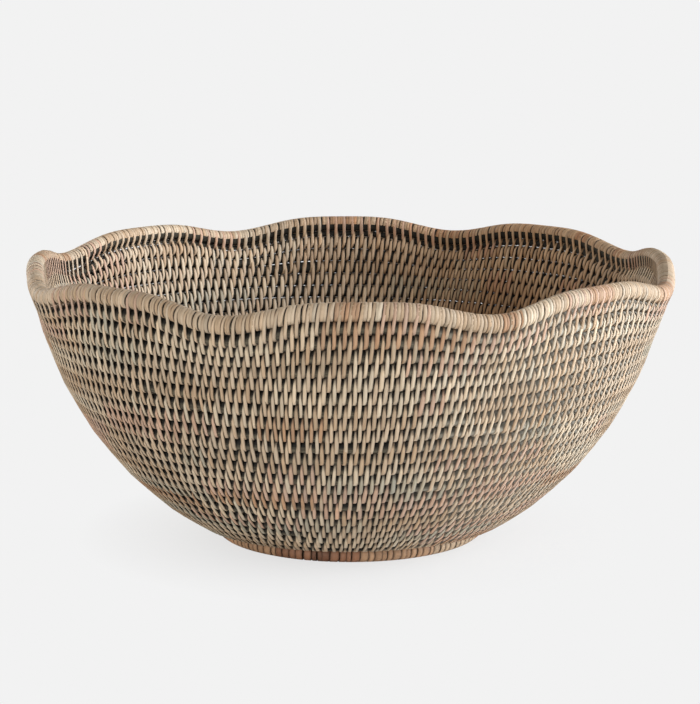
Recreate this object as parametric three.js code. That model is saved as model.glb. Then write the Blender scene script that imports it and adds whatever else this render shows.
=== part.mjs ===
// A round coiled rattan bowl with a scalloped rim, standing on a bound foot ring.
// One long cane core spirals out from the middle of the base and climbs the wall.
// Every turn of it is lashed to the turn below, a bound hoop caps the last turn,
// and the rim dips between eight crests.
import * as THREE from "three";

// Core cane and the slots between its turns, in millimetres
const COIL_DIAMETER = 6.4;
const SLOT_AT_BASE = 1.28;
const SLOT_AT_RIM = 2.12;
const BASE_TURNS = 11;
const WALL_TURNS = 23.19;
const START_RADIUS = 5;
const TAIL_TIP = 1.2;

// Lean of the wall, in degrees from upright
const ANGLE_AT_BASE = 60;
const ANGLE_AT_RIM = 9.3;
const ANGLE_EASE = 1.07;
const KNUCKLE_TURNS = 1;

// Scalloped rim: how far it dips and flares between two crests
const LOBES = 8;
const LOBE_SHARPNESS = 2;
const DIP_DEPTH = 8.6;
const DIP_FLARE = 3.8;
const WAVE_TURNS = 4.9;
const WAVE_HOLD_TURNS = 0.45;
const WAVE_EASE = 1.4;

// Lashing strip, rim and foot
const STRIP_THICKNESS = 0.5;
const RIM_DIAMETER = 10.5;
const RIM_BINDING_THICKNESS = 0.9;
const FOOT_DIAMETER = 11.5;
const FOOT_RADIUS = 77.6;
const FOOT_BINDING_THICKNESS = 0.9;

// Running gap between pieces that touch
const SEAT = 0.3;

// Facets
const COIL_SIDES = 5;
const BINDING_SIDES = 6;
const OUTER_BASE_TURNS = 4;
const STEPS_WAVE = LOBES * 6;
const STEPS_WALL = STEPS_WAVE / 2;
const STEPS_INNER = STEPS_WALL / 2;
const SHORTEST_FACET = 0.2;
const MARCH_STEPS = 64;

const TURN = 2 * Math.PI;
const FRONT = -TURN / 4;
const degrees = THREE.MathUtils.degToRad;
const lerp = THREE.MathUtils.lerp;
const clamp = THREE.MathUtils.clamp;

const COIL_RADIUS = COIL_DIAMETER / 2;
const TOP_TURN = BASE_TURNS + WALL_TURNS;
const BINDING_FLAT = Math.cos(Math.PI / BINDING_SIDES);
const FOOT_HEIGHT = FOOT_DIAMETER * BINDING_FLAT;
const BASE_HEIGHT = FOOT_HEIGHT + SEAT + COIL_RADIUS;

const colours = {
  core: new THREE.MeshStandardMaterial({ color: 0x6d6450, roughness: 0.85, metalness: 0 }),
  lashing: new THREE.MeshStandardMaterial({ color: 0xc4b096, roughness: 0.8, metalness: 0 }),
  rim: new THREE.MeshStandardMaterial({ color: 0xd3c0a6, roughness: 0.75, metalness: 0 }),
  foot: new THREE.MeshStandardMaterial({ color: 0x9a6d4c, roughness: 0.75, metalness: 0 }),
};

// How far up the wall a turn lies, 0 at the base and 1 under the rim
function wallShare(turn) {
  return clamp((turn - BASE_TURNS) / WALL_TURNS, 0, 1);
}

// Distance along the wall from one turn to the next
function pitchAt(turn) {
  return COIL_DIAMETER + lerp(SLOT_AT_BASE, SLOT_AT_RIM, wallShare(turn));
}

// Lean of the wall from upright: flat in the base, then rolling up to the rim
function slopeAt(turn) {
  const wall = ANGLE_AT_RIM + (ANGLE_AT_BASE - ANGLE_AT_RIM) * (1 - wallShare(turn)) ** ANGLE_EASE;
  const lift = clamp((turn - BASE_TURNS) / KNUCKLE_TURNS, 0, 1);
  return degrees(lerp(90, wall, lift));
}

// The section of the bowl under a crest, marched from the middle of the base outwards
const meridian = [{ r: START_RADIUS, z: BASE_HEIGHT }];
for (let i = 0; i < (TOP_TURN + 2) * MARCH_STEPS; i += 1) {
  const turn = (i + 0.5) / MARCH_STEPS;
  const step = pitchAt(turn) / MARCH_STEPS;
  const last = meridian[i];
  meridian.push({
    r: last.r + step * Math.sin(slopeAt(turn)),
    z: last.z + step * Math.cos(slopeAt(turn)),
  });
}

// Share of the rim's dip that a turn follows
function waveShare(turn) {
  const below = TOP_TURN - WAVE_HOLD_TURNS - turn;
  const depth = WAVE_TURNS - WAVE_HOLD_TURNS;
  return clamp(1 - below / depth, 0, 1) ** WAVE_EASE;
}

// 0 on a crest and 1 in the dip between two crests, with a crest at the front
function dipAt(angle) {
  const phase = LOBES * (angle - FRONT);
  return ((1 - Math.cos(phase)) / 2) ** LOBE_SHARPNESS;
}

// A point of the wall's middle surface, as a radius and a height
function wallPoint(turn, angle) {
  const place = clamp(turn, 0, TOP_TURN + 1) * MARCH_STEPS;
  const i = Math.floor(place);
  const dip = waveShare(turn) * dipAt(angle);
  return {
    r: lerp(meridian[i].r, meridian[i + 1].r, place - i) + DIP_FLARE * dip,
    z: lerp(meridian[i].z, meridian[i + 1].z, place - i) - DIP_DEPTH * dip,
  };
}

// Directions between two points of the wall: up along it, and out through it
function frameBetween(below, above) {
  const length = Math.hypot(above.r - below.r, above.z - below.z);
  const up = { r: (above.r - below.r) / length, z: (above.z - below.z) / length };
  return { up, out: { r: up.z, z: -up.r }, length };
}
function wallFrame(turn, angle) {
  return frameBetween(wallPoint(turn - 0.5, angle), wallPoint(turn + 0.5, angle));
}

function offset(point, frame, out, up) {
  return {
    r: point.r + frame.out.r * out + frame.up.r * up,
    z: point.z + frame.out.z * out + frame.up.z * up,
  };
}

// The core starts over the right side and climbs anticlockwise, seen from above
function angleOf(turn) {
  return turn * TURN;
}

// Facets that a turn is drawn with
function stepsAt(turn) {
  if (turn < BASE_TURNS - OUTER_BASE_TURNS) return STEPS_INNER;
  if (turn < BASE_TURNS) return STEPS_WALL;
  const rowStart = BASE_TURNS + Math.floor(turn - BASE_TURNS + 1e-9);
  return waveShare(rowStart) > 0 ? STEPS_WAVE : STEPS_WALL;
}

// Last corner at or before a turn. Corners of all turns lie on the same rays from the axis.
function cornerBefore(turn) {
  const steps = stepsAt(turn);
  const front = FRONT / TURN;
  return Math.floor((turn - front) * steps + 1e-6) / steps + front;
}

// Point of the wall on the straight facet that a turn is drawn with there
function facetPoint(turn) {
  const before = cornerBefore(turn);
  const after = before + 1 / stepsAt(turn);
  const a = wallPoint(before, angleOf(before));
  const b = wallPoint(after, angleOf(after));
  const toA = b.r * Math.sin(angleOf(after - turn));
  const toB = a.r * Math.sin(angleOf(turn - before));
  return {
    r: (a.r * b.r * Math.sin(angleOf(after - before))) / (toA + toB),
    z: lerp(a.z, b.z, toB / (toA + toB)),
  };
}

// Round section of the core: full size up to the tail, which thins out under the rim
function coilSection(turn) {
  const lower = -COIL_RADIUS;
  const upper = Math.min(COIL_RADIUS, (TOP_TURN - turn) * pitchAt(turn));
  const radius = (upper - lower) / 2;
  const frame = wallFrame(turn, angleOf(turn));
  const centre = offset(facetPoint(turn), frame, 0, (upper + lower) / 2);
  return Array.from({ length: COIL_SIDES }, (_, side) => {
    const around = ((side + 0.5) / COIL_SIDES) * TURN;
    return offset(centre, frame, radius * Math.cos(around), radius * Math.sin(around));
  });
}

// Middle of the slot between a turn and the one below it, on their facets
function slotBelow(turn) {
  const below = facetPoint(turn - 1);
  const above = facetPoint(turn);
  const frame = frameBetween(below, above);
  return { frame, centre: { r: (below.r + above.r) / 2, z: (below.z + above.z) / 2 } };
}

// How far the lashing reaches from the middle of its slot to a coil's facet.
// The coil lies above the slot where side is 1, and below it where side is -1.
function reachTo(turn, side, slot) {
  const flat = COIL_RADIUS * Math.cos(Math.PI / COIL_SIDES);
  const lean = TURN / COIL_SIDES;
  const coil = facetPoint(turn);
  const facing = offset({ r: 0, z: 0 }, wallFrame(turn, angleOf(turn)), Math.cos(lean), -side * Math.sin(lean));
  const edge = offset(slot.centre, slot.frame, flat, 0);
  const clear = facing.r * (edge.r - coil.r) + facing.z * (edge.z - coil.z) - flat - SEAT;
  return clear / (-side * (facing.r * slot.frame.up.r + facing.z * slot.frame.up.z));
}

// Wedge of lashing strips seated in the slot below a turn, standing proud of the core
function lashingSection(turn) {
  const slot = slotBelow(turn);
  const proud = COIL_RADIUS * Math.cos(Math.PI / COIL_SIDES) + STRIP_THICKNESS;
  return [
    slot.centre,
    offset(slot.centre, slot.frame, proud, -reachTo(turn - 1, -1, slot)),
    offset(slot.centre, slot.frame, proud, reachTo(turn, 1, slot)),
  ];
}

// Strips laced between the last full turn and the rim above it, where the rim stands clear
function rimLashingSection(turn) {
  const frame = wallFrame(turn, angleOf(turn));
  const centre = facetPoint(turn);
  const flat = COIL_RADIUS * Math.cos(Math.PI / COIL_SIDES);
  const lean = TURN / COIL_SIDES;
  const proud = flat + STRIP_THICKNESS;
  const bottom = (flat + SEAT - proud * Math.cos(lean)) / Math.sin(lean);
  const top = (TOP_TURN - turn) * pitchAt(turn) - SEAT;
  return [
    offset(centre, frame, COIL_RADIUS * Math.cos(1.5 * lean), top),
    offset(centre, frame, proud, bottom),
    offset(centre, frame, proud, top),
  ];
}

// Binding wrapped round a hoop, open on the side where it sits on the bowl
function bindingSection(centre, frame, radius, thickness, openSide) {
  const corners = Array.from({ length: BINDING_SIDES }, (_, side) => {
    return openSide + ((side + 0.5) / BINDING_SIDES) * TURN;
  });
  const ring = (size) => corners.map((a) => offset(centre, frame, size * Math.cos(a), size * Math.sin(a)));
  return [...ring(radius), ...ring(radius - thickness).reverse()];
}

// Hoop inside a binding, side by side with the binding's inner faces
function hoopSection(centre, frame, radius, openSide) {
  return Array.from({ length: BINDING_SIDES }, (_, side) => {
    const around = openSide + ((side + 0.5) / BINDING_SIDES) * TURN;
    return offset(centre, frame, radius * Math.cos(around), radius * Math.sin(around));
  });
}

// A solid swept round the bowl's axis through sections that may change as they go.
// Seated pieces split their facets the other way, so that they match the facets they face.
function sweptSolid(sections, angles, closed, seated) {
  const sides = sections[0].length;
  const corners = [];
  sections.forEach((section, i) => {
    section.forEach((p) => corners.push(p.r * Math.cos(angles[i]), p.r * Math.sin(angles[i]), p.z));
  });
  const faces = [];
  const spans = closed ? sections.length : sections.length - 1;
  for (let i = 0; i < spans; i += 1) {
    const here = i * sides;
    const next = ((i + 1) % sections.length) * sides;
    for (let j = 0; j < sides; j += 1) {
      const k = (j + 1) % sides;
      if (seated) {
        faces.push(here + j, next + j, here + k);
        faces.push(here + k, next + j, next + k);
      } else {
        faces.push(here + j, next + j, next + k);
        faces.push(here + j, next + k, here + k);
      }
    }
  }
  if (!closed) {
    const end = (sections.length - 1) * sides;
    for (let j = 1; j < sides - 1; j += 1) {
      faces.push(0, j, j + 1);
      faces.push(end, end + j + 1, end + j);
    }
  }
  const geometry = new THREE.BufferGeometry();
  geometry.setAttribute("position", new THREE.Float32BufferAttribute(corners, 3));
  geometry.setIndex(faces);
  geometry.computeVertexNormals();
  return geometry;
}

// A length of the spiral from one turn to another, with the running gap at its end
function spiralPiece(sectionAt, from, to, seated = false) {
  const end = to - SEAT / (TURN * wallPoint(to, 0).r);
  const turns = [from];
  for (;;) {
    const last = turns[turns.length - 1];
    const next = cornerBefore(last) + 1 / stepsAt(last);
    if (next > end - SHORTEST_FACET / STEPS_WAVE) break;
    turns.push(next);
  }
  turns.push(end);
  return sweptSolid(turns.map(sectionAt), turns.map(angleOf), false, seated);
}

// A closed ring round the bowl
function ringPiece(sectionAt, steps) {
  const angles = Array.from({ length: steps }, (_, i) => FRONT + (i / steps) * TURN);
  return sweptSolid(angles.map(sectionAt), angles, true, false);
}

const bowl = new THREE.Group();
function add(name, geometry, material) {
  const mesh = new THREE.Mesh(geometry, material);
  mesh.name = name;
  bowl.add(mesh);
}

// Base: the flat spiral and the lashing in its slots
add("base_coil", spiralPiece(coilSection, 0, BASE_TURNS), colours.core);
add("base_lashing", spiralPiece(lashingSection, 1, BASE_TURNS, true), colours.lashing);

// Wall: one length of core and one length of lashing for each turn
const TAIL_END = TOP_TURN + (COIL_RADIUS - TAIL_TIP) / pitchAt(TOP_TURN);
const rows = Math.ceil(TAIL_END - BASE_TURNS);
for (let row = 1; row <= rows; row += 1) {
  const from = BASE_TURNS + row - 1;
  const to = Math.min(from + 1, TAIL_END);
  const number = String(row).padStart(2, "0");
  add(`wall_coil_${number}`, spiralPiece(coilSection, from, to), colours.core);
  add(`wall_lashing_${number}`, spiralPiece(lashingSection, from, to, true), colours.lashing);
}

// Under the rim: lashing from the tail's tip round to where the rim meets the last turn
const RIM_LASHING_START = TAIL_END - 1 + SEAT / COIL_DIAMETER;
const RIM_LASHING_END = TOP_TURN - (COIL_RADIUS + 3 * SEAT) / pitchAt(TOP_TURN);
const rimLashing = spiralPiece(rimLashingSection, RIM_LASHING_START, RIM_LASHING_END);
add("rim_lashing", rimLashing, colours.lashing);

// Rim: a round hoop sitting on the last turn, wrapped all the way along
const DOWN_THE_WALL = -TURN / 4;
const RIM_RADIUS = RIM_DIAMETER / 2;
const RIM_HOOP_RADIUS = RIM_RADIUS - RIM_BINDING_THICKNESS - SEAT;
const RIM_RISE = RIM_RADIUS * BINDING_FLAT + SEAT;
function rimSeat(angle) {
  const frame = wallFrame(TOP_TURN, angle);
  return { frame, centre: offset(wallPoint(TOP_TURN, angle), frame, 0, RIM_RISE) };
}
const rimHoop = (angle) => {
  const { centre, frame } = rimSeat(angle);
  return hoopSection(centre, frame, RIM_HOOP_RADIUS, DOWN_THE_WALL);
};
const rimBinding = (angle) => {
  const { centre, frame } = rimSeat(angle);
  return bindingSection(centre, frame, RIM_RADIUS, RIM_BINDING_THICKNESS, DOWN_THE_WALL);
};
add("rim_hoop", ringPiece(rimHoop, STEPS_WAVE), colours.core);
add("rim_binding", ringPiece(rimBinding, STEPS_WAVE), colours.rim);

// Foot: a stout hoop under the base, wrapped, with a flat to stand on
const UP = TURN / 4;
const UPRIGHT = { up: { r: 0, z: 1 }, out: { r: 1, z: 0 } };
const FOOT_HOOP_RADIUS = FOOT_DIAMETER / 2 - FOOT_BINDING_THICKNESS - SEAT;
const footCentre = { r: FOOT_RADIUS, z: FOOT_HEIGHT / 2 };
const footHoop = () => hoopSection(footCentre, UPRIGHT, FOOT_HOOP_RADIUS, UP);
const footBinding = () => {
  return bindingSection(footCentre, UPRIGHT, FOOT_DIAMETER / 2, FOOT_BINDING_THICKNESS, UP);
};
add("foot_hoop", ringPiece(footHoop, STEPS_WALL), colours.foot);
add("foot_binding", ringPiece(footBinding, STEPS_WALL), colours.foot);

export default bowl;
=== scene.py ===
"""Looks of a round coiled rattan bowl with a scalloped rim and a bound foot ring.

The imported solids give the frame. Each length of core cane becomes a smooth round rod, and
each wedge of lashing becomes the single flat strips that loop round two turns of the core.
The rim and the foot get their own wraps. Sizes are in metres and angles in radians.
"""

from __future__ import annotations

import logging
import math
from collections.abc import Mapping, Sequence
from dataclasses import dataclass, field
from enum import Enum
from typing import Any

import bpy
import numpy as np
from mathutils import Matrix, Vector

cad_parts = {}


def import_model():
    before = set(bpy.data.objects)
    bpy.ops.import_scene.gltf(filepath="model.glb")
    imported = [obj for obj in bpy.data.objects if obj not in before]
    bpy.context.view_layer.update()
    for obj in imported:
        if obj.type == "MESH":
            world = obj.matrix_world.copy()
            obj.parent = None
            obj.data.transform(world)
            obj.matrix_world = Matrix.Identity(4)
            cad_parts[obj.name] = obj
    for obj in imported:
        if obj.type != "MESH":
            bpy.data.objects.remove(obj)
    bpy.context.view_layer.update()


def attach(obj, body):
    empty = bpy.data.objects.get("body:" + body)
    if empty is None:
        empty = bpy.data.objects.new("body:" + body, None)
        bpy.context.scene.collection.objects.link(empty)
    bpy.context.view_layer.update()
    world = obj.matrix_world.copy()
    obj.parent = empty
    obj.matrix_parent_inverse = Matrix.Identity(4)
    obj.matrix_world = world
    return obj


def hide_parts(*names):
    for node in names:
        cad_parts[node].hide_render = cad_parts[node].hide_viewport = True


LOG = logging.getLogger("rattan_bowl")
MM = 0.001
TURN = 2 * math.pi
FRONT = -TURN / 4
Array = np.ndarray
Triple = tuple[float, float, float]
Span = tuple[float, float]
Rod = tuple[Array, Array]


def srgb(red: int, green: int, blue: int) -> Triple:
    """Turn a colour in 0 to 255 steps into the linear light that shaders work in.

    Args:
        red: Red, 0 to 255.
        green: Green, 0 to 255.
        blue: Blue, 0 to 255.

    Returns:
        The linear colour.
    """
    def linear(step: int) -> float:
        """Return one channel as linear light, by the standard curve."""
        share = step / 255
        return share / 12.92 if share <= 0.04045 else ((share + 0.055) / 1.055) ** 2.4

    return linear(red), linear(green), linear(blue)


def put(name: str, data: bpy.types.ID) -> bpy.types.Object:
    """Put an object in the scene, at the origin.

    Args:
        name: The object's name.
        data: Its mesh, camera or light.

    Returns:
        The object.
    """
    made = bpy.data.objects.new(name, data)
    bpy.context.scene.collection.objects.link(made)
    return made


def write(mesh: bpy.types.Mesh, name: str, values: Array, kind: str = "FLOAT") -> None:
    """Give each point of a mesh a value of its own.

    Args:
        mesh: The mesh.
        name: The attribute's name.
        values: A number, or a row of numbers, for each point.
        kind: The attribute's data type.
    """
    label = {"FLOAT": "value", "FLOAT_VECTOR": "vector", "FLOAT_COLOR": "color"}[kind]
    made = mesh.attributes.new(name, kind, "POINT")
    made.data.foreach_set(label, values.astype(np.float32).ravel())


def round_the_axis(places: Array, angle: Array) -> Array:
    """Turn radius and height at an angle into points.

    Args:
        places: Radius and height, or a direction's share of each.
        angle: Angles round the bowl.

    Returns:
        Points or directions in the bowl's frame.
    """
    return np.stack([places[:, 0] * np.cos(angle), places[:, 0] * np.sin(angle), places[:, 1]], axis=1)


class Field:
    """A node's output that Python expressions can use as a number or a vector."""

    def __init__(self, graph: Graph, socket: bpy.types.NodeSocket) -> None:
        """Wrap one output socket of a graph."""
        self.graph = graph
        self.socket = socket

    @property
    def is_vector(self) -> bool:
        """Say whether the output holds a vector or a colour."""
        return self.socket.type in {"VECTOR", "RGBA"}

    def _join(self, operation: str, left: Any, right: Any) -> Field:
        """Add the Math or Vector Math node that an operator stands for.

        Args:
            operation: The node's operation.
            left: The first value or field.
            right: The second value or field.

        Returns:
            The result.
        """
        vectors = [isinstance(side, Field) and side.is_vector for side in (left, right)]
        if operation == "MULTIPLY" and vectors == [True, False]:
            return self.graph.vector("SCALE", left, Scale=right)
        if any(vectors):
            return self.graph.vector(operation, left, right)
        return self.graph.maths(operation, left, right)

    def __add__(self, other: Any) -> Field:
        """Add."""
        return self._join("ADD", self, other)

    def __radd__(self, other: Any) -> Field:
        """Add, with the field on the right."""
        return self._join("ADD", other, self)

    def __sub__(self, other: Any) -> Field:
        """Subtract."""
        return self._join("SUBTRACT", self, other)

    def __rsub__(self, other: Any) -> Field:
        """Subtract the field from something else."""
        return self._join("SUBTRACT", other, self)

    def __mul__(self, other: Any) -> Field:
        """Multiply."""
        return self._join("MULTIPLY", self, other)

    def __rmul__(self, other: Any) -> Field:
        """Multiply, with the field on the right."""
        return self._join("MULTIPLY", self, other)

    def __truediv__(self, other: Any) -> Field:
        """Divide."""
        return self._join("DIVIDE", self, other)

    def __rtruediv__(self, other: Any) -> Field:
        """Divide something else by the field."""
        return self._join("DIVIDE", other, self)

    def __pow__(self, other: Any) -> Field:
        """Raise to a power."""
        return self.graph.maths("POWER", self, other)


class Graph:
    """Builds the nodes of a shader or of a Geometry Nodes tree."""

    # A Mix node keeps its colour sockets after those for numbers and vectors.
    MIX_FIRST = 6
    MIX_SECOND = 7
    MIX_RESULT = 2

    def __init__(self, tree: bpy.types.NodeTree) -> None:
        """Start on a tree."""
        self.tree = tree

    def node(
        self,
        kind: str,
        settings: Mapping[str, Any] | None = None,
        inputs: Mapping[str | int, Any] | None = None,
    ) -> bpy.types.Node:
        """Add one node.

        Args:
            kind: The node's type name.
            settings: Properties to set first. "points" are a float curve's (x, y) pairs.
            inputs: Values or fields by input name or number.

        Returns:
            The new node.
        """
        made = self.tree.nodes.new(kind)
        for name, value in (settings or {}).items():
            if name == "points":
                self._fill_curve(made.mapping, value)
            else:
                setattr(made, name, value)
        for name, value in (inputs or {}).items():
            self.feed(made.inputs[name], value)
        return made

    @staticmethod
    def _fill_curve(mapping: bpy.types.CurveMapping, points: Sequence[Span]) -> None:
        """Give a float curve its points.

        Args:
            mapping: The curve's mapping.
            points: Its (x, y) pairs, from left to right.
        """
        curve = mapping.curves[0]
        while len(curve.points) < len(points):
            curve.points.new(0.5, 0.5)
        for point, place in zip(curve.points, points):
            point.location = place
        mapping.update()

    def feed(self, socket: bpy.types.NodeSocket, value: Any) -> None:
        """Link a field to an input, or set the input's own value.

        Args:
            socket: The input.
            value: A field, a number, three numbers or a name.
        """
        if isinstance(value, Field):
            self.tree.links.new(value.socket, socket)
        elif socket.type == "RGBA":
            socket.default_value = (*value, 1.0)
        else:
            socket.default_value = value

    def out(self, node: bpy.types.Node, output: str | int = 0) -> Field:
        """Return a node's output as a field."""
        return Field(self, node.outputs[output])

    def maths(self, operation: str, *values: Any, clamp: bool = False) -> Field:
        """Add a Math node.

        Args:
            operation: The node's operation.
            *values: Its inputs, in order.
            clamp: Whether the result is held between 0 and 1.

        Returns:
            The result.
        """
        settings = {"operation": operation, "use_clamp": clamp}
        return self.out(self.node("ShaderNodeMath", settings, dict(enumerate(values))))

    def vector(self, operation: str, *values: Any, **named: Any) -> Field:
        """Add a Vector Math node.

        Args:
            operation: The node's operation.
            *values: Its vector inputs, in order.
            **named: Inputs by name, such as Scale.

        Returns:
            The result.
        """
        inputs = {**dict(enumerate(values)), **named}
        return self.out(self.node("ShaderNodeVectorMath", {"operation": operation}, inputs))

    def vector_value(self, operation: str, *values: Any) -> Field:
        """Add a Vector Math node that gives a number, such as a dot product or a length."""
        made = self.node("ShaderNodeVectorMath", {"operation": operation}, dict(enumerate(values)))
        return self.out(made, "Value")

    def share(self, value: Any) -> Field:
        """Hold a value between 0 and 1."""
        return self.maths("ADD", value, 0.0, clamp=True)

    def ramp(self, value: Field, start: float, full: float) -> Field:
        """Return a share that is 0 where a value stands at the start and 1 where it is full."""
        return self.share((value - start) / (full - start))

    def combine(self, x: Any, y: Any, z: Any) -> Field:
        """Make a vector from three numbers."""
        return self.out(self.node("ShaderNodeCombineXYZ", None, {0: x, 1: y, 2: z}))

    def part(self, vector: Field, axis: int) -> Field:
        """Return one component of a vector."""
        return self.out(self.node("ShaderNodeSeparateXYZ", None, {0: vector}), axis)

    def mix(self, factor: Field, first: Any, second: Any) -> Field:
        """Mix two colours.

        Args:
            factor: How much of the second colour shows.
            first: The first colour.
            second: The second colour.

        Returns:
            The mixed colour.
        """
        inputs = {"Factor": factor, self.MIX_FIRST: first, self.MIX_SECOND: second}
        return self.out(self.node("ShaderNodeMix", {"data_type": "RGBA"}, inputs), self.MIX_RESULT)


class Shader(Graph):
    """The nodes of one surface, or of the sky."""

    def __init__(self, owner: bpy.types.Material | bpy.types.World) -> None:
        """Start on the nodes of a material or a world.

        Args:
            owner: The material or the world.
        """
        owner.use_nodes = True
        super().__init__(owner.node_tree)
        self.owner = owner

    @classmethod
    def of_material(cls, name: str) -> Shader:
        """Start a new material."""
        return cls(bpy.data.materials.new(name))

    def read(self, name: str, output: str = "Fac") -> Field:
        """Read an attribute of the mesh."""
        return self.out(self.node("ShaderNodeAttribute", {"attribute_name": name}), output)

    def noise(self, place: Field, scale: float, detail: float) -> Field:
        """Add a noise at a place."""
        inputs = {"Vector": place, "Scale": scale, "Detail": detail}
        return self.out(self.node("ShaderNodeTexNoise", None, inputs))

    def dress(
        self, colour: Field, roughness: Field, height: Field, strength: float, depth: float
    ) -> bpy.types.Material:
        """Feed the surface.

        Args:
            colour: Its colour.
            roughness: Its roughness.
            height: The height of its relief, 0 to 1.
            strength: How strongly the relief shows.
            depth: How deep the relief is.

        Returns:
            The material.
        """
        surface = self.tree.nodes["Principled BSDF"].inputs
        inputs = {"Strength": strength, "Distance": depth, "Height": height}
        self.feed(surface["Base Color"], colour)
        self.feed(surface["Roughness"], roughness)
        self.feed(surface["Normal"], self.out(self.node("ShaderNodeBump", None, inputs)))
        return self.owner

    def glow(self, kind: str, colour: Triple, strength: float) -> Field:
        """Add a shader that gives off light, of a surface or of the sky."""
        return self.out(self.node(kind, None, {"Color": colour, "Strength": strength}))

    def blend(self, factor: Field, first: Field, second: Field) -> Field:
        """Mix two shaders, the second by the factor."""
        return self.out(self.node("ShaderNodeMixShader", None, {0: factor, 1: first, 2: second}))

    def seen(self) -> Field:
        """Return 1 for what the camera sees directly, and 0 for all other light."""
        return self.out(self.node("ShaderNodeLightPath"), "Is Camera Ray")


class GeometryTree(Graph):
    """A Geometry Nodes tree with named inputs, ending in plain geometry."""

    def __init__(self, name: str) -> None:
        """Start an empty tree with geometry in and out.

        Args:
            name: The tree's name.
        """
        super().__init__(bpy.data.node_groups.new(name, "GeometryNodeTree"))
        self._identifiers: dict[str, str] = {}
        for way in ("INPUT", "OUTPUT"):
            self.tree.interface.new_socket("Geometry", in_out=way, socket_type="NodeSocketGeometry")
        self.entry = self.tree.nodes.new("NodeGroupInput")
        self.place = self.out(self.node("GeometryNodeInputPosition"))

    def given(self, name: str, kind: str) -> Field:
        """Add a named input.

        Args:
            name: The input's name.
            kind: Its socket type, such as "NodeSocketFloat".

        Returns:
            The input as a field.
        """
        made = self.tree.interface.new_socket(name, in_out="INPUT", socket_type=kind)
        self._identifiers[name] = made.identifier
        return self.out(self.entry, name)

    def attribute(self, name: str, kind: str = "FLOAT") -> Field:
        """Read a named attribute."""
        return self.out(self.node("GeometryNodeInputNamedAttribute", {"data_type": kind}, {"Name": name}))

    def store(
        self, geometry: Field, name: str, value: Any, kind: str = "FLOAT", domain: str = "POINT"
    ) -> Field:
        """Write a named attribute.

        Args:
            geometry: What to write it on.
            name: The attribute's name.
            value: Its value.
            kind: Its data type.
            domain: Its domain.

        Returns:
            The geometry with the attribute.
        """
        settings = {"data_type": kind, "domain": domain}
        inputs = {"Geometry": geometry, "Name": name, "Value": value}
        return self.out(self.node("GeometryNodeStoreNamedAttribute", settings, inputs))

    def step(self, kind: str, geometry: Field, **inputs: Any) -> Field:
        """Add a node that takes geometry and hands it on."""
        return self.out(self.node(kind, None, {"Geometry": geometry, **inputs}))

    def sweep(self, line: Field, section: Field, scale: Any = 1.0) -> Field:
        """Sweep a section along a line, with closed ends."""
        inputs = {"Curve": line, "Profile Curve": section, "Scale": scale, "Fill Caps": True}
        return self.out(self.node("GeometryNodeCurveToMesh", None, inputs))

    def finish(self, geometry: Field, material: Field) -> None:
        """End the tree: smooth, as real geometry, with its material.

        Args:
            geometry: The finished geometry.
            material: The input that gives its material.
        """
        smooth = self.step("GeometryNodeSetShadeSmooth", geometry)
        real = self.step("GeometryNodeRealizeInstances", smooth)
        dressed = self.step("GeometryNodeSetMaterial", real, Material=material)
        self.node("NodeGroupOutput", None, {0: dressed})

    def apply(self, piece: bpy.types.Object, values: Mapping[str, Any], drop: Sequence[str]) -> None:
        """Run the tree on an object and keep the result as its plain mesh.

        Args:
            piece: The object.
            values: Inputs by name.
            drop: Attributes that only the tree needed.
        """
        modifier = piece.modifiers.new(self.tree.name, "NODES")
        modifier.node_group = self.tree
        for name, value in values.items():
            modifier[self._identifiers[name]] = value
        depsgraph = bpy.context.evaluated_depsgraph_get()
        mesh = bpy.data.meshes.new_from_object(
            piece.evaluated_get(depsgraph), preserve_all_data_layers=True, depsgraph=depsgraph
        )
        piece.modifiers.clear()
        old = piece.data
        piece.data = mesh
        mesh.name = piece.name
        bpy.data.meshes.remove(old)
        for name in drop:
            if name in mesh.attributes:
                mesh.attributes.remove(mesh.attributes[name])


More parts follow.
